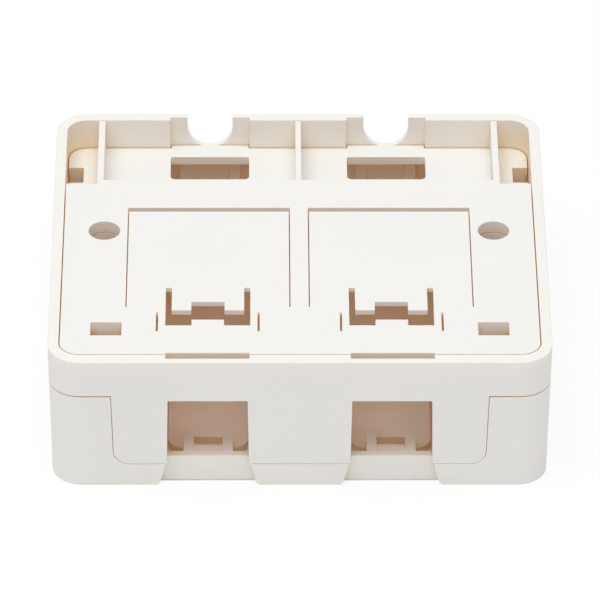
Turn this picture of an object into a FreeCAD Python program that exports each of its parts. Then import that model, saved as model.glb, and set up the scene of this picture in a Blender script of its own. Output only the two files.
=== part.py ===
import FreeCAD, Part
import math
import os

# Two-port surface mount jack box, in millimetres, in three moulded pieces.
# It lies on the cover's outer face (z = 0).  The mounting face, which goes against the wall or desk,
# is at the top (z = BOX_HEIGHT), and the jack ports look along -Y.  X runs across the ports.
# "Behind" is a distance in from the front face, and "below" a distance down from the mounting face.

Vector = FreeCAD.Vector

# ---- Whole box, measured at the mounting face ---------------------------------------------------
BOX_WIDTH = 94.0
BOX_DEPTH = 81.8
BOX_HEIGHT = 29.0
CORNER_RADIUS = 6.0
DRAFT_DEG = 0.9              # every outer wall leans in towards the cover's face
RIM_ROUND = 0.2              # outer edge round the mounting face
FACE_ROUND = 0.3             # outer edge round the cover's face

# ---- Seams and clearances -----------------------------------------------------------------------
SEAM_GAP = 0.3               # shadow line between the cover and the frame
SEAM_DEPTH = 0.9             # how far that line is cut in from the outside
PANEL_GAP = 0.1              # fine joint round the frame's front panel
PLATE_GAP = 0.2              # gap between the base plate and the frame's rim
ARM_GAP = 0.3                # gap round each locating arm in its window
EAR_GAP = 0.2                # gap between the base plate and the frame's screw ears

# ---- Frame's rim and front panel ----------------------------------------------------------------
RIM_HEIGHT = 7.9             # band round the mounting face
RIM_SIDE = 2.05
RIM_FRONT = 2.5
RIM_BACK = 2.3
RIM_BACK_THIN = 1.3          # back wall where a cable passes
PANEL_WIDTH_TOP = 70.4
PANEL_WIDTH_LOW = 69.6
PANEL_RADIUS = 3.0
PANEL_THICKNESS = 1.8
SHELF_WIDTH = 1.6            # inner ledge that the base plate sits on
SHELF_THICKNESS = 1.6
EAR_THICKNESS = 2.2
EAR_WALL = 2.0               # plastic round the screw hole in each ear

# ---- Cover --------------------------------------------------------------------------------------
COVER_WALL = 1.9
COVER_FLOOR = 2.0
STRIP_HEIGHT = 5.0           # front strip under the panel

# ---- Jack ports, one each side of the middle ----------------------------------------------------
PORT_PITCH = 34.4
PORT_WIDTH_TOP = 14.9
PORT_WIDTH_LOW = 15.4
PORT_TOP_BELOW = 9.1         # top edge of the window in the panel
SILL_BELOW = 23.2            # top of the sill
SILL_BEHIND = 2.0            # front of the sill
SILL_THICKNESS = 1.5
SILL_OVERLAP = 1.6           # how far the sill runs on behind the strip, each side
NOTCH_WIDTH_TOP = 15.9       # finger notch through the front strip
NOTCH_WIDTH_LOW = 18.3
NOTCH_ROUND = 1.2
RAIL_INNER = 5.4             # clear width between the two guide rails
RAIL_WIDTH = 1.95
RAIL_LENGTH = 5.3
CATCH_LENGTH = 2.3           # bar between the rails that a jack's fixed hook catches on
CATCH_DROP = 0.3             # the bar's top, below the sill's
PAD_WIDTH = 15.2             # raised seat under the jack's body
PAD_BELOW = 25.4
PAD_BEHIND = 7.2
PAD_LENGTH = 27.0
PAD_RADIUS = 3.3
HOOK_POCKET_END = 10.7       # end of the recess behind the catch bar, as wide as between the rails

# ---- Slot between the rim and the base plate over each port --------------------------------------
STRIP_SLOT_WIDTH = 15.6
STRIP_SLOT_FRONT = 1.3       # rim's thickness left in front of it
STRIP_SLOT_BACK = 3.05
STRIP_SLOT_BELOW = 5.5

# ---- Base plate ---------------------------------------------------------------------------------
PLATE_THICKNESS = 2.5
PLATE_RADIUS = 3.6
HOLE_PITCH = 74.2
HOLE_RADIUS = 3.0
HOLE_BEHIND = 42.3
FLAP_WIDTH = 30.55           # sprung flap over each jack
FLAP_THICKNESS = 1.1
FLAP_FRONT = 17.6
FLAP_BACK = 48.6
FLAP_SIDE_CUT = 0.2
FLAP_BACK_CUT = 1.25
TONGUE_WIDTH = 13.6          # latch tongue at the flap's front
TONGUE_FRONT = 16.5
TONGUE_ROOT = 23.7
TONGUE_CUT = 1.13            # cut along each side of the tongue
TONGUE_MOUTH_FRONT = 11.75   # front edge of the opening before the tongue
TONGUE_NOTCH_WIDTH = 6.2
TONGUE_NOTCH_BACK = 19.2
STOP_TAB_WIDTH = 6.1
STOP_TAB_LENGTH = 1.8
RELIEF_PITCH = 19.0          # two thin relief slits beside the tongue's opening
RELIEF_WIDTH = 0.4
RELIEF_FRONT = 9.95
RELIEF_LENGTH = 5.9

# ---- Cable pockets at the back of the base plate, measured in from the back face -------------------
POCKET_LENGTH = 22.6
POCKET_BELOW = 6.5           # pocket floor
POCKET_FLOOR = 1.85
POCKET_WALL = 1.4
CORNER_POCKET_LENGTH = 23.9
MIDDLE_RIB = 1.1
SIDE_RIB = 1.25
SIDE_RIB_EDGE = 8.8          # rib's middle, in from the side face
CABLE_SLOT_WIDTH = 15.3
CABLE_SLOT_LENGTH = 7.6
CABLE_SLOT_EDGE = 5.5
CABLE_SLOT_RADIUS = 1.0      # its two corners on the port side
CABLE_SLOT_RADIUS_BACK = 0.4
THIN_ZONE_WIDTH = 15.5
CABLE_NOTCH_WIDTH = 8.8      # U notch in the back wall
CABLE_NOTCH_BELOW = 6.9

# ---- Locating arms on the cover, and the windows that they stand in --------------------------------
FRONT_WINDOW_EDGE = 10.8     # window's middle, in from the side face
FRONT_WINDOW_WIDTH = 5.8
FRONT_WINDOW_BEHIND = 8.6
FRONT_WINDOW_LENGTH = 4.1
BACK_WINDOW_WIDTH = 2.95     # this window is open at the plate's side
BACK_WINDOW_EDGE = 9.2       # window's back, in from the back face
BACK_WINDOW_LENGTH = 5.0
ARM_THICKNESS = 1.8          # every arm stands at the front of its window
BACK_ARM_ROOT_HEIGHT = 15.0  # up to here the arm is one with the side wall
ARM_TIP_BELOW = 1.8          # arm's tip, below the surface that its window opens in
ARM_TIP_ROUND = 0.4
LEDGE_THICKNESS = 1.2        # wall behind each window, which keeps the arm from leaning back
LEDGE_BELOW = 4.2            # its lower edge, below the surface that the window opens in

# ---- Ribs inside the cover's back wall, behind each cable slot -------------------------------------
WALL_RIB_PITCH = 9.7
WALL_RIB_WIDTH = 2.1
WALL_RIB_DEPTH = 1.0
WALL_RIB_TOP_BELOW = 9.0

CUT_PAST = 1.0               # cutters run this far past the face they cut through


def behind(distance):
    """Y of a place this far behind the front face."""
    return distance - BOX_DEPTH / 2


def from_back(distance):
    """Y of a place this far in from the back face."""
    return BOX_DEPTH / 2 - distance


def below(distance):
    """Z of a place this far below the mounting face."""
    return BOX_HEIGHT - distance


def lean(z):
    """How far the outer walls have leaned in at this height."""
    return (BOX_HEIGHT - z) * math.tan(math.radians(DRAFT_DEG))


def rounded_wire(corners, radii, place):
    """Closed wire round flat corners (u, v), each with its own radius; place puts them in space."""
    rounds = []
    for index, radius in enumerate(radii):
        before, corner, after = (Vector(*corners[(index + step) % len(corners)], 0) for step in (-1, 0, 1))
        to_before = (before - corner).normalize()
        to_after = (after - corner).normalize()
        half_angle = to_before.getAngle(to_after) / 2
        reach = radius / math.tan(half_angle)
        inward = (to_before + to_after).normalize() * (radius / math.sin(half_angle) - radius)
        rounds.append((corner + to_before * reach, corner + inward, corner + to_after * reach))
    edges = []
    for index, (start, middle, end) in enumerate(rounds):
        following = rounds[(index + 1) % len(rounds)][0]
        if radii[index] > 0:
            edges.append(Part.Arc(place(start), place(middle), place(end)).toShape())
        if end.distanceToPoint(following) > 1e-6:
            edges.append(Part.LineSegment(place(end), place(following)).toShape())
    return Part.Wire(edges)


def rectangle(x_low, x_high, y_low, y_high):
    """Corners of a rectangle, anticlockwise from the low corner."""
    return [(x_low, y_low), (x_high, y_low), (x_high, y_high), (x_low, y_high)]


def upright(corners, radii, z_low, z_high):
    """Solid with an outline in plan, standing from one height to another."""
    wire = rounded_wire(corners, radii, lambda p: Vector(p.x, p.y, z_low))
    return Part.Face(wire).extrude(Vector(0, 0, z_high - z_low))


def through_front(corners, radii, y_low, y_high):
    """Solid with an outline in front view (x, z), running back from one y to another."""
    wire = rounded_wire(corners, radii, lambda p: Vector(p.x, y_low, p.y))
    return Part.Face(wire).extrude(Vector(0, y_high - y_low, 0))


def block(x_low, x_high, y_low, y_high, z_low, z_high):
    """Plain rectangular solid between two corners."""
    return Part.makeBox(x_high - x_low, y_high - y_low, z_high - z_low, Vector(x_low, y_low, z_low))


def centred_block(x, width, y_low, y_high, z_low, z_high):
    """Rectangular solid of a width about one x."""
    return block(x - width / 2, x + width / 2, y_low, y_high, z_low, z_high)


def mirrored(shapes):
    """The shapes, and the same ones on the other side of the middle."""
    return shapes + [shape.mirror(Vector(0, 0, 0), Vector(1, 0, 0)) for shape in shapes]


def fused(base, additions):
    """One solid of a base and its additions, with the seams between faces cleaned away."""
    return base.multiFuse(additions).removeSplitter()


def drafted(side, front, back, radius, z_low, z_high):
    """Solid with the box's leaning walls, moved in by these thicknesses."""
    wires = []
    for z in (z_low, z_high):
        inset = lean(z)
        x = BOX_WIDTH / 2 - side - inset
        y_low = behind(front + inset)
        y_high = from_back(back + inset)
        corners = rectangle(-x, x, y_low, y_high)
        wires.append(rounded_wire(corners, [radius - inset] * 4, lambda p: Vector(p.x, p.y, z)))
    return Part.makeLoft(wires, True, True)


def level_edges(shape, z):
    """Edges that lie wholly at one height."""
    return [edge for edge in shape.Edges if all(abs(v.Z - z) < 1e-6 for v in edge.Vertexes)]


def whole_box():
    """The closed box's outer form, with its leaning walls and eased edges."""
    body = drafted(0, 0, 0, CORNER_RADIUS, 0, BOX_HEIGHT)
    body = body.makeFillet(FACE_ROUND, level_edges(body, 0))
    return body.makeFillet(RIM_ROUND, level_edges(body, BOX_HEIGHT))


PORT_X = PORT_PITCH / 2
BOX_BACK = from_back(0)
BOX_FRONT = behind(0)
RIM_Z = below(RIM_HEIGHT)
PLATE_Z = below(PLATE_THICKNESS)
TAIL_Z = below(POCKET_BELOW + POCKET_FLOOR)


# ---- Frame --------------------------------------------------------------------------------------
def panel_form(gap, thickness):
    """The front panel's form, grown by a gap at its sides and lower edge."""
    low_z = STRIP_HEIGHT + PANEL_GAP - gap
    top = PANEL_WIDTH_TOP / 2 + gap
    low = PANEL_WIDTH_LOW / 2 + gap
    corners = [(-low, low_z), (low, low_z), (top, RIM_Z), (-top, RIM_Z)]
    radii = [PANEL_RADIUS + gap, PANEL_RADIUS + gap, 0, 0]
    return through_front(corners, radii, BOX_FRONT - CUT_PAST, behind(thickness))


def port_window():
    """Cutter for one port's window, open at the panel's lower edge."""
    top_z = below(PORT_TOP_BELOW)
    low_z = STRIP_HEIGHT - CUT_PAST
    corners = [
        (PORT_X - PORT_WIDTH_LOW / 2, low_z),
        (PORT_X + PORT_WIDTH_LOW / 2, low_z),
        (PORT_X + PORT_WIDTH_TOP / 2, top_z),
        (PORT_X - PORT_WIDTH_TOP / 2, top_z),
    ]
    return through_front(corners, [0] * 4, BOX_FRONT - CUT_PAST, behind(PANEL_THICKNESS + CUT_PAST))


def strip_slot():
    """Cutter for the narrow slot between the rim and the base plate over one port."""
    return centred_block(PORT_X, STRIP_SLOT_WIDTH, behind(STRIP_SLOT_FRONT), behind(STRIP_SLOT_BACK),
                         below(STRIP_SLOT_BELOW), BOX_HEIGHT + CUT_PAST)


def plate_well(extra, z_low, z_high):
    """The space inside the rim, moved in by an extra amount."""
    x = BOX_WIDTH / 2 - RIM_SIDE - extra
    corners = rectangle(-x, x, behind(RIM_FRONT + extra), from_back(RIM_BACK + extra))
    return upright(corners, [PLATE_RADIUS + PLATE_GAP - extra] * 4, z_low, z_high)


def plate_shelf():
    """Ledge round the front and sides of the rim, with an ear round each screw hole."""
    shelf_low = PLATE_Z - SHELF_THICKNESS
    ring = plate_well(0, shelf_low, PLATE_Z).cut(plate_well(SHELF_WIDTH, shelf_low - CUT_PAST, BOX_HEIGHT))
    clear_of_pockets = from_back(CORNER_POCKET_LENGTH + POCKET_WALL + PLATE_GAP)
    ring = ring.cut(block(-BOX_WIDTH, BOX_WIDTH, clear_of_pockets, BOX_BACK, 0, BOX_HEIGHT))
    jack_room = centred_block(PORT_X, STRIP_SLOT_WIDTH, behind(RIM_FRONT),
                              behind(RIM_FRONT + 2 * SHELF_WIDTH), 0, BOX_HEIGHT)
    ring = ring.cut(mirrored([jack_room]))
    ear_radius = HOLE_RADIUS + EAR_WALL
    ear_top = PLATE_Z - EAR_GAP
    hole_x = HOLE_PITCH / 2
    corners = rectangle(hole_x - ear_radius, BOX_WIDTH / 2 - RIM_SIDE,
                        behind(HOLE_BEHIND) - ear_radius, behind(HOLE_BEHIND) + ear_radius)
    ear = upright(corners, [ear_radius, 0, 0, ear_radius], ear_top - EAR_THICKNESS, ear_top)
    return [ring] + mirrored([ear])


def screw_hole():
    """Cutter for one screw hole, through the plate and the ear under it."""
    centre = Vector(HOLE_PITCH / 2, behind(HOLE_BEHIND), RIM_Z - CUT_PAST)
    return Part.makeCylinder(HOLE_RADIUS, RIM_HEIGHT + 2 * CUT_PAST, centre)


def thin_zone(extra, z_low, z_high):
    """The shallow recess in the back wall's inner face round one cable notch."""
    return centred_block(PORT_X, THIN_ZONE_WIDTH - 2 * extra, from_back(RIM_BACK + CUT_PAST),
                         from_back(RIM_BACK_THIN + extra), z_low, z_high)


def cable_notch():
    """Cutter for one round-bottomed cable notch in the back wall."""
    half = CABLE_NOTCH_WIDTH / 2
    corners = rectangle(PORT_X - half, PORT_X + half, below(CABLE_NOTCH_BELOW), BOX_HEIGHT + CUT_PAST)
    return through_front(corners, [half, half, 0, 0], from_back(RIM_BACK + CUT_PAST), BOX_BACK + CUT_PAST)


def jack_frame(box_form):
    """Rim, front panel, back wall and the shelf that carries the base plate."""
    band = block(-BOX_WIDTH, BOX_WIDTH, -BOX_DEPTH, BOX_DEPTH, RIM_Z, BOX_HEIGHT + CUT_PAST)
    outer = fused(box_form.common(band), [box_form.common(panel_form(0, PANEL_THICKNESS))])
    hollow = outer.cut(plate_well(0, RIM_Z - CUT_PAST, BOX_HEIGHT + CUT_PAST))
    body = fused(hollow, plate_shelf())
    side_cuts = [port_window(), strip_slot(), screw_hole(), cable_notch(),
                 thin_zone(0, RIM_Z - CUT_PAST, BOX_HEIGHT + CUT_PAST)]
    return body.cut(mirrored(side_cuts)).removeSplitter()


# ---- Base plate -----------------------------------------------------------------------------------
def flap_cuts():
    """Cutters that free one sprung flap, and thin it from below."""
    x_low = PORT_X - FLAP_WIDTH / 2
    x_high = PORT_X + FLAP_WIDTH / 2
    y_front = behind(FLAP_FRONT)
    y_back = behind(FLAP_BACK)
    z_low = PLATE_Z - CUT_PAST
    z_high = BOX_HEIGHT + CUT_PAST
    back_end = y_back + FLAP_BACK_CUT
    return [
        block(x_low - FLAP_SIDE_CUT, x_low, y_front, back_end, z_low, z_high),
        block(x_high, x_high + FLAP_SIDE_CUT, y_front, back_end, z_low, z_high),
        block(x_low - FLAP_SIDE_CUT, x_high + FLAP_SIDE_CUT, y_back, back_end, z_low, z_high),
        block(x_low, x_high, y_front, y_back, z_low, below(FLAP_THICKNESS)),
    ]


def tongue_cuts():
    """Cutters for the opening round one latch tongue, its notch, and the slits beside it."""
    tongue_half = TONGUE_WIDTH / 2
    mouth_half = tongue_half + TONGUE_CUT
    z_low = PLATE_Z - CUT_PAST
    z_high = BOX_HEIGHT + CUT_PAST
    mouth = [
        (PORT_X - mouth_half, behind(TONGUE_MOUTH_FRONT)),
        (PORT_X - STOP_TAB_WIDTH / 2, behind(TONGUE_MOUTH_FRONT)),
        (PORT_X - STOP_TAB_WIDTH / 2, behind(TONGUE_MOUTH_FRONT + STOP_TAB_LENGTH)),
        (PORT_X + STOP_TAB_WIDTH / 2, behind(TONGUE_MOUTH_FRONT + STOP_TAB_LENGTH)),
        (PORT_X + STOP_TAB_WIDTH / 2, behind(TONGUE_MOUTH_FRONT)),
        (PORT_X + mouth_half, behind(TONGUE_MOUTH_FRONT)),
        (PORT_X + mouth_half, behind(TONGUE_ROOT)),
        (PORT_X + tongue_half, behind(TONGUE_ROOT)),
        (PORT_X + tongue_half, behind(TONGUE_FRONT)),
        (PORT_X + TONGUE_NOTCH_WIDTH / 2, behind(TONGUE_FRONT)),
        (PORT_X + TONGUE_NOTCH_WIDTH / 2, behind(TONGUE_NOTCH_BACK)),
        (PORT_X - TONGUE_NOTCH_WIDTH / 2, behind(TONGUE_NOTCH_BACK)),
        (PORT_X - TONGUE_NOTCH_WIDTH / 2, behind(TONGUE_FRONT)),
        (PORT_X - tongue_half, behind(TONGUE_FRONT)),
        (PORT_X - tongue_half, behind(TONGUE_ROOT)),
        (PORT_X - mouth_half, behind(TONGUE_ROOT)),
    ]
    thinning = centred_block(PORT_X, TONGUE_WIDTH, behind(TONGUE_FRONT), behind(FLAP_FRONT),
                             z_low, below(FLAP_THICKNESS))
    slits = [
        centred_block(PORT_X + side * RELIEF_PITCH / 2, RELIEF_WIDTH, behind(RELIEF_FRONT),
                      behind(RELIEF_FRONT + RELIEF_LENGTH), z_low, z_high)
        for side in (-1, 1)
    ]
    return [upright(mouth, [0] * len(mouth), z_low, z_high), thinning] + slits


def pocket_cuts():
    """Cutters for the cable pocket and the corner pocket on one side, and the cable slot."""
    floor_z = below(POCKET_BELOW)
    z_high = BOX_HEIGHT + CUT_PAST
    rib_x = BOX_WIDTH / 2 - SIDE_RIB_EDGE
    pocket = block(MIDDLE_RIB / 2, rib_x - SIDE_RIB / 2, from_back(POCKET_LENGTH), BOX_BACK, floor_z, z_high)
    corner = block(rib_x + SIDE_RIB / 2, BOX_WIDTH / 2, from_back(CORNER_POCKET_LENGTH), BOX_BACK,
                   floor_z, z_high)
    slot_corners = rectangle(PORT_X - CABLE_SLOT_WIDTH / 2, PORT_X + CABLE_SLOT_WIDTH / 2,
                             from_back(CABLE_SLOT_EDGE + CABLE_SLOT_LENGTH), from_back(CABLE_SLOT_EDGE))
    slot_radii = [CABLE_SLOT_RADIUS] * 2 + [CABLE_SLOT_RADIUS_BACK] * 2
    slot = upright(slot_corners, slot_radii, TAIL_Z - CUT_PAST, floor_z + CUT_PAST)
    return [pocket, corner, slot]


def front_window(gap):
    """Plan limits of the front arm window on one side, moved in by a gap all round."""
    half = FRONT_WINDOW_WIDTH / 2 - gap
    x = BOX_WIDTH / 2 - FRONT_WINDOW_EDGE
    y_low = behind(FRONT_WINDOW_BEHIND)
    return x - half, x + half, y_low + gap, y_low + FRONT_WINDOW_LENGTH - gap


def back_window(gap):
    """Plan limits of the corner arm window on one side, moved in by a gap all round."""
    x_high = BOX_WIDTH / 2 - RIM_SIDE - PLATE_GAP
    y_high = from_back(BACK_WINDOW_EDGE)
    return x_high - BACK_WINDOW_WIDTH + gap, x_high - gap, y_high - BACK_WINDOW_LENGTH + gap, y_high - gap


def window_ledges():
    """Walls that hang from the base plate behind the two windows on one side."""
    x_low, x_high, _, y_high = front_window(0)
    front = block(x_low, x_high, y_high, y_high + LEDGE_THICKNESS, below(LEDGE_BELOW), PLATE_Z)
    x_low, x_high, _, y_high = back_window(0)
    back = block(x_low, x_high - PLATE_GAP, y_high, y_high + LEDGE_THICKNESS,
                 below(POCKET_BELOW + LEDGE_BELOW), TAIL_Z)
    return [front, back]


def window_cuts():
    """Cutters for the arm windows on one side."""
    x_low, _, y_low, y_high = back_window(0)
    return [
        block(*front_window(0), 0, BOX_HEIGHT + CUT_PAST),
        block(x_low, BOX_WIDTH / 2, y_low, y_high, 0, BOX_HEIGHT + CUT_PAST),
    ]


def base_plate():
    """Inner plate with the screw holes, sprung flaps, arm windows and cable pockets."""
    slab = plate_well(PLATE_GAP, PLATE_Z, BOX_HEIGHT)
    tail_front = from_back(CORNER_POCKET_LENGTH + POCKET_WALL)
    tail = plate_well(PLATE_GAP, TAIL_Z, BOX_HEIGHT)
    tail = tail.common(block(-BOX_WIDTH, BOX_WIDTH, tail_front, BOX_BACK, 0, BOX_HEIGHT))
    lips = mirrored([thin_zone(PLATE_GAP, RIM_Z + PLATE_GAP, below(POCKET_BELOW))])
    body = fused(slab, [tail] + lips + mirrored(window_ledges()))
    side_cuts = flap_cuts() + tongue_cuts() + pocket_cuts() + window_cuts() + [screw_hole(), strip_slot()]
    return body.cut(mirrored(side_cuts)).removeSplitter()


# ---- Cover ----------------------------------------------------------------------------------------
def finger_notch():
    """Cutter for the flared notch through the front strip before one port."""
    past = NOTCH_WIDTH_LOW / 2 + 2 * NOTCH_ROUND
    low = NOTCH_WIDTH_LOW / 2
    top = NOTCH_WIDTH_TOP / 2
    half_outline = [(past, -CUT_PAST), (past, 0), (low, 0), (top, STRIP_HEIGHT),
                    (top, STRIP_HEIGHT + CUT_PAST)]
    half_radii = [0, 0, NOTCH_ROUND, 0, 0]
    corners = [(PORT_X + x, z) for x, z in half_outline]
    corners += [(PORT_X - x, z) for x, z in reversed(half_outline)]
    return through_front(corners, half_radii + half_radii[::-1], BOX_FRONT - CUT_PAST, behind(SILL_BEHIND))


def jack_seat():
    """Sill, guide rails, catch bar and raised pad of one port."""
    sill_back = SILL_BEHIND + SILL_THICKNESS
    sill_z = below(SILL_BELOW)
    sill = centred_block(PORT_X, NOTCH_WIDTH_LOW + 2 * SILL_OVERLAP, behind(SILL_BEHIND),
                         behind(sill_back), 0, sill_z)
    rail_x = (RAIL_INNER + RAIL_WIDTH) / 2
    rails = [
        centred_block(PORT_X + side * rail_x, RAIL_WIDTH, behind(SILL_BEHIND),
                      behind(sill_back + RAIL_LENGTH), 0, sill_z)
        for side in (-1, 1)
    ]
    catch = centred_block(PORT_X, RAIL_INNER, behind(SILL_BEHIND), behind(sill_back + CATCH_LENGTH),
                          0, sill_z - CATCH_DROP)
    pad_corners = rectangle(PORT_X - PAD_WIDTH / 2, PORT_X + PAD_WIDTH / 2,
                            behind(PAD_BEHIND), behind(PAD_BEHIND + PAD_LENGTH))
    pad = upright(pad_corners, [PAD_RADIUS] * 4, 0, below(PAD_BELOW))
    pocket = centred_block(PORT_X, RAIL_INNER, behind(sill_back), behind(HOOK_POCKET_END),
                           COVER_FLOOR, BOX_HEIGHT)
    return [sill, catch, pad.cut(pocket)] + rails


def front_arm():
    """Arm that rises from the cover's floor into the base plate's front window."""
    x_low, x_high, y_low, _ = front_window(ARM_GAP)
    tip_z = below(ARM_TIP_BELOW)
    arm = block(x_low, x_high, y_low, y_low + ARM_THICKNESS, 0, tip_z)
    return arm.makeFillet(ARM_TIP_ROUND, level_edges(arm, tip_z))


def back_arm():
    """Arm that rises beside the side wall into the corner window, its root one with the wall."""
    x_low, x_high, y_low, _ = back_window(ARM_GAP)
    y_high = y_low + ARM_THICKNESS
    tip_z = below(POCKET_BELOW + ARM_TIP_BELOW)
    arm = block(x_low, x_high, y_low, y_high, 0, tip_z)
    arm = arm.makeFillet(ARM_TIP_ROUND, level_edges(arm, tip_z))
    wall_middle = BOX_WIDTH / 2 - lean(0) - COVER_WALL / 2
    root = block(x_low, wall_middle, y_low, y_high, 0, BACK_ARM_ROOT_HEIGHT)
    return arm.fuse(root)


def wall_ribs():
    """Upright ribs inside the back wall, behind one cable slot."""
    wall_middle = COVER_WALL / 2 + lean(0)
    return [
        centred_block(PORT_X + side * WALL_RIB_PITCH / 2, WALL_RIB_WIDTH,
                      from_back(wall_middle + COVER_WALL / 2 + WALL_RIB_DEPTH), from_back(wall_middle),
                      0, below(WALL_RIB_TOP_BELOW))
        for side in (-1, 1)
    ]


def cover(box_form):
    """Deep shell with the front strip, jack seats and locating arms."""
    wide = (-BOX_WIDTH, BOX_WIDTH, -BOX_DEPTH, BOX_DEPTH)
    outer = box_form.common(block(*wide, -CUT_PAST, RIM_Z))
    cavity = drafted(COVER_WALL, COVER_WALL, COVER_WALL, CORNER_RADIUS - COVER_WALL, COVER_FLOOR, BOX_HEIGHT)
    land = drafted(SEAM_DEPTH, SEAM_DEPTH, SEAM_DEPTH, CORNER_RADIUS - SEAM_DEPTH, 0, BOX_HEIGHT)
    seam = block(*wide, RIM_Z - SEAM_GAP, BOX_HEIGHT).cut(land)
    panel_opening = panel_form(PANEL_GAP, COVER_WALL + lean(0) + CUT_PAST)
    shell = outer.cut([cavity, seam, panel_opening] + mirrored([finger_notch()]))
    inner_parts = mirrored(jack_seat() + wall_ribs() + [front_arm(), back_arm()])
    return fused(shell, [part.common(box_form) for part in inner_parts])


def main():
    os.makedirs("parts", exist_ok=True)
    box_form = whole_box()
    pieces = {
        "cover": cover(box_form),
        "jack_frame": jack_frame(box_form),
        "base_plate": base_plate(),
    }
    for name, shape in pieces.items():
        solids = shape.Solids
        print(name, "solids", len(solids), "valid", shape.isValid(), "volume", round(shape.Volume, 1))
        solids[0].exportStep(f"parts/{name}.step")


main()
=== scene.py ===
import math

import bmesh
import bpy
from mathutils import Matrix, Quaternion, Vector


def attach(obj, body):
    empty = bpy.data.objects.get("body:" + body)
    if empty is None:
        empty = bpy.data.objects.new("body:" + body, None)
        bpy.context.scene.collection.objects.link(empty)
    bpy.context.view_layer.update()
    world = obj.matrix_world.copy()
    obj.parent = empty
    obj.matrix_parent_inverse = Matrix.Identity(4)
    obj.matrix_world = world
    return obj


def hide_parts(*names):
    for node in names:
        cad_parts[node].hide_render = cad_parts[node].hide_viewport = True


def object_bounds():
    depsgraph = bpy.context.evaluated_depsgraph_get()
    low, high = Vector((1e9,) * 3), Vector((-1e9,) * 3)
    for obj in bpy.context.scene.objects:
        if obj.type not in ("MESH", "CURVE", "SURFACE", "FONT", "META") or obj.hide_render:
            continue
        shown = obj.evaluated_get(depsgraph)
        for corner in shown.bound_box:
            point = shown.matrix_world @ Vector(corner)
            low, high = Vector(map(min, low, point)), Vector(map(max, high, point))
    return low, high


bl_info = {
    "name": "Surface mount jack box",
    "version": (1, 0, 0),
    "blender": (4, 5, 0),
    "location": "View3D > Sidebar > Jack Box",
    "description": "Dresses the three mouldings of a two-port surface mount jack box",
    "category": "Object",
}

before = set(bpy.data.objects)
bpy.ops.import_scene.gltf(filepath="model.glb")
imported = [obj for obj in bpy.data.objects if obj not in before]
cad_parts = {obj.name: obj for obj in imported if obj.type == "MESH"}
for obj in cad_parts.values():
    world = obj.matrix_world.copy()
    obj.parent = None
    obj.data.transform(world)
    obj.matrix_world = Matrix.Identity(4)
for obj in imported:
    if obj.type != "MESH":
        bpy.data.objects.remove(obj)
CAD_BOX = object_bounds()

MM = 0.001
MERGE_DISTANCE = 0.001 * MM
FLAT_ANGLE = math.radians(0.6)       # faces nearer to one plane than this are joined
SHARP_ANGLE = math.radians(60)       # edges sharper than this are eased


def linear(code):
    """Linear RGBA of a six-digit sRGB hex colour, by the sRGB curve."""
    channels = [int(code[place:place + 2], 16) / 255 for place in (0, 2, 4)]
    return [c / 12.92 if c <= 0.04045 else ((c + 0.055) / 1.055) ** 2.4 for c in channels] + [1.0]


def add_node(tree, kind, options=None, values=None, links=None):
    """A node with its options, its input values and its links from other nodes' outputs."""
    node = tree.nodes.new(kind)
    for name, option in (options or {}).items():
        setattr(node, name, option)
    for name, value in (values or {}).items():
        node.inputs[name].default_value = value
    for name, output in (links or {}).items():
        tree.links.new(output, node.inputs[name])
    return node


class JackBoxMouldings(bpy.types.PropertyGroup):
    """Sizes of the fine form that the three mouldings share."""

    edge_radius: bpy.props.FloatProperty(
        name="Edge radius", description="Radius that the mould leaves on every sharp edge",
        default=0.08 * MM, min=0, unit="LENGTH")
    edge_steps: bpy.props.IntProperty(
        name="Edge steps", description="Facets across each eased edge", default=2, min=1, max=6)


class JackBoxFinish(bpy.types.PropertyGroup):
    """Colours and texture sizes of the warm white ABS, with the painted glow deep inside the box."""

    plastic: bpy.props.FloatVectorProperty(
        name="Plastic", description="Body colour of the ABS", subtype="COLOR", size=4,
        default=linear("F0F2EF"), min=0, max=1)
    plastic_warm: bpy.props.FloatVectorProperty(
        name="Plastic, warmer", description="The slightly warmer colour of its flow marks",
        subtype="COLOR", size=4, default=linear("EEF0EC"), min=0, max=1)
    # Painted light: a warm colour multiplied into the base colour where near walls shut a place in,
    # standing in for light scattered through the walls, not the plastic's own colour
    painted_deep_glow: bpy.props.FloatVectorProperty(
        name="Painted deep glow", description="Tint of the plastic deep inside the box",
        subtype="COLOR", size=4, default=linear("FFEBC2"), min=0, max=1)
    deep_reach: bpy.props.FloatProperty(
        name="Deep reach", description="How near other walls count as shutting a place in",
        default=30 * MM, unit="LENGTH")
    deep_openness: bpy.props.FloatProperty(
        name="Deep openness", description="Open share of the sky at which that tint ends", default=0.28,
        min=0, max=1, subtype="FACTOR")
    roughness: bpy.props.FloatProperty(
        name="Roughness", description="Of the spark-eroded surface", default=0.5,
        min=0, max=1, subtype="FACTOR")
    grain: bpy.props.FloatProperty(
        name="Grain", description="Width of one pit as drawn, coarser than a real one",
        default=0.32 * MM, unit="LENGTH")
    grain_depth: bpy.props.FloatProperty(
        name="Grain depth", description="Depth of that texture", default=0.010 * MM, unit="LENGTH")
    wall_light: bpy.props.FloatProperty(
        name="Wall light", description="Share of the light that goes on through a wall", default=0.078,
        min=0, max=1, subtype="FACTOR")
    wall_tint: bpy.props.FloatVectorProperty(
        name="Wall tint", description="What one face of a wall leaves of the light that crosses it",
        subtype="COLOR", size=4, default=linear("FFCB91"), min=0, max=1)


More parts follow.
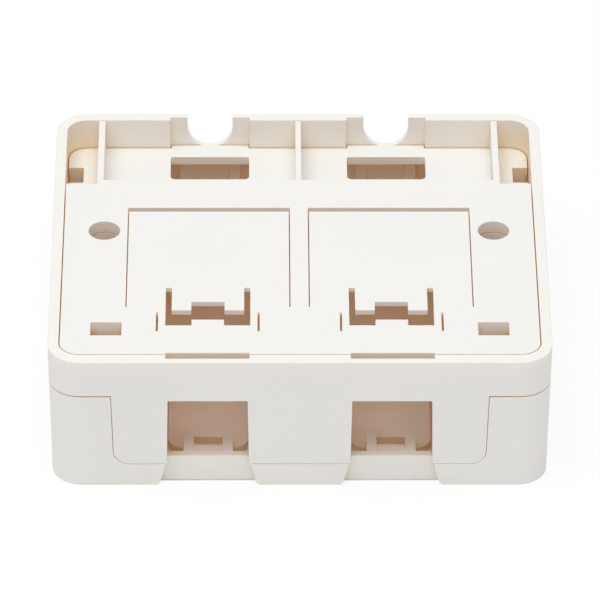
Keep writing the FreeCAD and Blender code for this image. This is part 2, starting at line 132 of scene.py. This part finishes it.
class JackBoxStage(bpy.types.PropertyGroup):
    """Floor, lamps and camera."""

    elevation: bpy.props.FloatProperty(
        name="Camera elevation", description="Height of the camera over the floor, as an angle",
        default=math.radians(36.0), subtype="ANGLE")
    turn: bpy.props.FloatProperty(
        name="Camera turn", description="How far the camera stands round to the left",
        default=math.radians(0.46), subtype="ANGLE")
    roll: bpy.props.FloatProperty(
        name="Camera roll", description="About the line of sight, to the left", default=math.radians(0.26),
        subtype="ANGLE")
    distance: bpy.props.FloatProperty(
        name="Camera distance", description="From the place that it looks at", default=1.183, unit="LENGTH")
    lens: bpy.props.FloatProperty(
        name="Lens", description="Focal length on a 36 mm frame", default=378.0, unit="CAMERA")
    aim_behind: bpy.props.FloatProperty(
        name="Aim", description="Place looked at, behind the front face", default=19.73 * MM, unit="LENGTH")
    aim_side: bpy.props.FloatProperty(
        name="Aim to the side", description="Place looked at, right of the middle", default=0.07 * MM,
        unit="LENGTH")
    floor: bpy.props.FloatVectorProperty(
        name="Floor", description="Colour of the floor", subtype="COLOR", size=4,
        default=linear("FAFAFA"), min=0, max=1)
    lamp_strength: bpy.props.FloatProperty(
        name="Lamp strength", description="Power of the overhead panel, in watts", default=12.0)
    room_light: bpy.props.FloatProperty(
        name="Room light", description="Strength of the light from all round", default=0.48)


def settings(part):
    """The property group of that name in the scene."""
    return getattr(bpy.context.scene, "jack_box_" + part)


# ---- Mouldings ------------------------------------------------------------------------------------
def eased_copy(node):
    """A merged copy of one moulding, in flat faces, with every sharp edge eased."""
    sizes = settings("mouldings")
    form = bmesh.new()
    form.from_mesh(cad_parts[node].data)
    bmesh.ops.remove_doubles(form, verts=form.verts, dist=MERGE_DISTANCE)
    bmesh.ops.dissolve_limit(form, angle_limit=FLAT_ANGLE, use_dissolve_boundaries=False,
                             verts=form.verts, edges=form.edges, delimit=set())
    bmesh.ops.triangulate(form, faces=form.faces)
    mesh = bpy.data.meshes.new(node + "_moulding")
    form.to_mesh(mesh)
    form.free()
    mesh.shade_smooth()
    piece = bpy.data.objects.new(node + "_moulding", mesh)
    bpy.context.scene.collection.objects.link(piece)
    easing = piece.modifiers.new("Eased edges", "BEVEL")
    easing.width = sizes.edge_radius
    easing.segments = sizes.edge_steps
    easing.profile = 0.5
    easing.limit_method = "ANGLE"
    easing.angle_limit = SHARP_ANGLE
    easing.use_clamp_overlap = False
    easing.miter_outer = "MITER_SHARP"
    easing.loop_slide = False
    piece.modifiers.new("Flat faces stay flat", "WEIGHTED_NORMAL")
    return piece


def finish_piece(node):
    """Dresses one moulding in the ABS and sets it on its body in place of the plain solid."""
    piece = eased_copy(node)
    piece.data.materials.append(moulded_abs())
    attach(piece, node)
    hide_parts(node)


FLOW_WIDTH = 22 * MM         # one flow mark across
FLOW_DETAIL = 2.0
OPENNESS_RAYS = 6            # rays that feel for walls near a place
GRAIN_DETAIL = 3.0
GRAIN_UNEVENNESS = 0.6
SHEEN_FALL = 0.05            # how far the pits take the roughness down and up
SHEEN_RISE = 0.07
ABS_IOR = 1.54


def moulded_abs():
    """Warm white moulded ABS.

    ABS, injection moulded against a spark-eroded steel surface.  The eye gets a soft, even sheen with no
    mirror image, a very fine pitted grain, faint broad flow marks, and a warm tan inside the box: partly
    light that has come through its walls, and partly a painted glow, a warm tint multiplied into the base
    colour where near walls shut a place in.
    """
    name = "Moulded_warm_white_ABS"
    if name in bpy.data.materials:
        return bpy.data.materials[name]
    finish = settings("finish")
    material = bpy.data.materials.new(name)
    material.use_nodes = True
    tree = material.node_tree
    tree.nodes.clear()
    place = add_node(tree, "ShaderNodeTexCoord").outputs["Object"]
    # Flow marks, broad and hardly there
    flow = add_node(tree, "ShaderNodeTexNoise", values={"Scale": 1 / FLOW_WIDTH, "Detail": FLOW_DETAIL},
                    links={"Vector": place})
    colour = add_node(tree, "ShaderNodeMix", {"data_type": "RGBA"},
                      links={"Factor": flow.outputs["Fac"]})
    colour.inputs["A"].default_value = finish.plastic
    colour.inputs["B"].default_value = finish.plastic_warm
    # Stands in for light that has scattered in the walls many times and come out tan: where near walls
    # shut a place in, the plastic itself is given that tint, whatever the light is
    open_air = add_node(tree, "ShaderNodeAmbientOcclusion", {"samples": OPENNESS_RAYS},
                        {"Distance": finish.deep_reach})
    painted_glow_share = add_node(tree, "ShaderNodeMapRange",
                       values={"From Max": finish.deep_openness, "To Min": 1.0, "To Max": 0.0},
                       links={"Value": open_air.outputs["AO"]})
    # The painted glow is multiplied into the body colour here, darkest and warmest where the place is most
    # shut in
    body = add_node(tree, "ShaderNodeMix", {"data_type": "RGBA", "blend_type": "MULTIPLY"},
                    links={"Factor": painted_glow_share.outputs["Result"], "A": colour.outputs["Result"]})
    body.inputs["B"].default_value = finish.painted_deep_glow
    # Pits of the spark-eroded steel.  Real ones are about a tenth of a millimetre or less, too fine to
    # show, so these are drawn coarser
    grain = add_node(tree, "ShaderNodeTexNoise",
                     values={"Scale": 1 / finish.grain, "Detail": GRAIN_DETAIL,
                             "Roughness": GRAIN_UNEVENNESS},
                     links={"Vector": place})
    sheen = add_node(tree, "ShaderNodeMapRange",
                     values={"To Min": finish.roughness - SHEEN_FALL,
                             "To Max": finish.roughness + SHEEN_RISE},
                     links={"Value": grain.outputs["Fac"]})
    bump = add_node(tree, "ShaderNodeBump", values={"Distance": finish.grain_depth, "Strength": 1.0},
                    links={"Height": grain.outputs["Fac"]})
    plastic = add_node(tree, "ShaderNodeBsdfPrincipled", values={"IOR": ABS_IOR},
                       links={"Base Color": body.outputs["Result"], "Roughness": sheen.outputs["Result"],
                              "Normal": bump.outputs["Normal"]})
    # A thin wall lets some light in at one face, and all that is inside it leaves by the other
    crossing = add_node(tree, "ShaderNodeBsdfTranslucent", values={"Color": finish.wall_tint})
    inside = add_node(tree, "ShaderNodeNewGeometry").outputs["Backfacing"]
    share = add_node(tree, "ShaderNodeMath", {"operation": "MAXIMUM"}, {1: finish.wall_light}, {0: inside})
    wall = add_node(tree, "ShaderNodeMixShader",
                    links={0: share.outputs[0], 1: plastic.outputs["BSDF"], 2: crossing.outputs[0]})
    add_node(tree, "ShaderNodeOutputMaterial", links={"Surface": wall.outputs[0]})
    return material


class JACKBOX_OT_cover(bpy.types.Operator):
    """Dresses the cover, with its port sills, guide rails and locating arms"""

    bl_idname = "jackbox.cover"
    bl_label = "Cover"

    def execute(self, context):
        finish_piece("cover")
        return {"FINISHED"}


class JACKBOX_OT_frame(bpy.types.Operator):
    """Dresses the jack frame, with its rim, front panel and back wall"""

    bl_idname = "jackbox.frame"
    bl_label = "Jack frame"

    def execute(self, context):
        finish_piece("jack_frame")
        return {"FINISHED"}


class JACKBOX_OT_plate(bpy.types.Operator):
    """Dresses the base plate, with its sprung flaps, latch tongues and cable pockets"""

    bl_idname = "jackbox.plate"
    bl_label = "Base plate"

    def execute(self, context):
        finish_piece("base_plate")
        return {"FINISHED"}


# ---- Stage ----------------------------------------------------------------------------------------
FLOOR_SIZE = 6.0
FLOOR_SHADE = 0.15           # share of the light on the floor that the eye sees over plain white
PANEL_SIZE = 1.1
PANEL_PLACE = (-0.12, -0.22, 1.25)
SENSOR_WIDTH = 36.0
VIEW_END = 20.0


def white_to_the_eye(tree, lit_share, lit_shader):
    """Mixes a shader with plain white where the eye, a reflection or glass sees it."""
    path = add_node(tree, "ShaderNodeLightPath")
    seen = add_node(tree, "ShaderNodeMath", {"operation": "MAXIMUM"},
                    links={0: path.outputs["Is Camera Ray"], 1: path.outputs["Is Glossy Ray"]})
    seen_through = add_node(tree, "ShaderNodeMath", {"operation": "MAXIMUM"},
                            links={0: seen.outputs[0], 1: path.outputs["Is Transmission Ray"]})
    share = add_node(tree, "ShaderNodeMath", {"operation": "MULTIPLY"}, {1: 1 - lit_share},
                     {0: seen_through.outputs[0]})
    white = add_node(tree, "ShaderNodeEmission", values={"Color": (1, 1, 1, 1), "Strength": 1.0})
    mix = add_node(tree, "ShaderNodeMixShader",
                   links={0: share.outputs[0], 1: lit_shader, 2: white.outputs[0]})
    return mix.outputs[0]


def make_floor():
    """Plain pale floor that the box lies on."""
    form = bmesh.new()
    bmesh.ops.create_grid(form, x_segments=1, y_segments=1, size=FLOOR_SIZE / 2)
    mesh = bpy.data.meshes.new("floor")
    form.to_mesh(mesh)
    form.free()
    floor = bpy.data.objects.new("floor", mesh)
    bpy.context.scene.collection.objects.link(floor)
    material = bpy.data.materials.new("Matt_white_paper")
    material.use_nodes = True
    tree = material.node_tree
    tree.nodes.clear()
    paper = add_node(tree, "ShaderNodeBsdfDiffuse", values={"Color": settings("stage").floor})
    surface = white_to_the_eye(tree, FLOOR_SHADE, paper.outputs[0])
    add_node(tree, "ShaderNodeOutputMaterial", links={"Surface": surface})
    mesh.materials.append(material)


def make_world():
    """Even light from all round, seen as white."""
    world = bpy.data.worlds.new("studio")
    world.use_nodes = True
    tree = world.node_tree
    tree.nodes.clear()
    strength = settings("stage").room_light
    room = add_node(tree, "ShaderNodeBackground", values={"Color": (1, 1, 1, 1), "Strength": strength})
    surface = white_to_the_eye(tree, 0.0, room.outputs[0])
    add_node(tree, "ShaderNodeOutputWorld", links={"Surface": surface})
    bpy.context.scene.world = world


def make_lamps():
    """One large soft panel overhead, a little to the left and the front."""
    lamp = bpy.data.lights.new("overhead_panel", "AREA")
    lamp.size = PANEL_SIZE
    lamp.energy = settings("stage").lamp_strength
    panel = bpy.data.objects.new("overhead_panel", lamp)
    bpy.context.scene.collection.objects.link(panel)
    panel.location = PANEL_PLACE
    panel.rotation_euler = (-panel.location).to_track_quat("-Z", "Y").to_euler()


def make_camera():
    """Camera at the front, looking down on the mounting face."""
    stage = settings("stage")
    low, high = (Vector(corner) for corner in CAD_BOX)
    aim = Vector(((low.x + high.x) / 2 + stage.aim_side, low.y + stage.aim_behind, high.z))
    towards = Vector((-math.sin(stage.turn) * math.cos(stage.elevation),
                      -math.cos(stage.turn) * math.cos(stage.elevation), math.sin(stage.elevation)))
    data = bpy.data.cameras.new("camera")
    data.lens = stage.lens
    data.sensor_width = SENSOR_WIDTH
    data.clip_end = VIEW_END
    camera = bpy.data.objects.new("camera", data)
    bpy.context.scene.collection.objects.link(camera)
    camera.location = aim + towards * stage.distance
    level = (-towards).to_track_quat("-Z", "Y")
    camera.rotation_euler = (level @ Quaternion((0, 0, 1), stage.roll)).to_euler()
    bpy.context.scene.camera = camera


class JACKBOX_OT_stage(bpy.types.Operator):
    """Makes the floor, the lamps and the camera"""

    bl_idname = "jackbox.stage"
    bl_label = "Stage"

    def execute(self, context):
        make_floor()
        make_world()
        make_lamps()
        make_camera()
        context.scene.view_settings.view_transform = "Standard"
        return {"FINISHED"}


class JACKBOX_PT_panel(bpy.types.Panel):
    """Lists the pieces of the jack box and the stage"""

    bl_idname = "JACKBOX_PT_panel"
    bl_label = "Jack box"
    bl_space_type = "VIEW_3D"
    bl_region_type = "UI"
    bl_category = "Jack Box"

    def draw(self, context):
        for operator in OPERATORS:
            self.layout.operator(operator.bl_idname)
        for part in GROUPS:
            group = settings(part)
            for name in group.bl_rna.properties.keys():
                if name not in ("rna_type", "name"):
                    self.layout.prop(group, name)


OPERATORS = (JACKBOX_OT_stage, JACKBOX_OT_cover, JACKBOX_OT_frame, JACKBOX_OT_plate)
GROUPS = {"mouldings": JackBoxMouldings, "finish": JackBoxFinish, "stage": JackBoxStage}


def register():
    """Registers the groups of settings, the operators and the panel."""
    for group in GROUPS.values():
        bpy.utils.register_class(group)
    for part, group in GROUPS.items():
        setattr(bpy.types.Scene, "jack_box_" + part, bpy.props.PointerProperty(type=group))
    for item in OPERATORS + (JACKBOX_PT_panel,):
        bpy.utils.register_class(item)


def unregister():
    """Takes them away again."""
    for item in reversed(OPERATORS + (JACKBOX_PT_panel,)):
        bpy.utils.unregister_class(item)
    for part in GROUPS:
        delattr(bpy.types.Scene, "jack_box_" + part)
    for group in reversed(list(GROUPS.values())):
        bpy.utils.unregister_class(group)


def main():
    register()
    bpy.ops.jackbox.stage()
    bpy.ops.jackbox.cover()
    bpy.ops.jackbox.frame()
    bpy.ops.jackbox.plate()


if __name__ == "__main__":
    main()
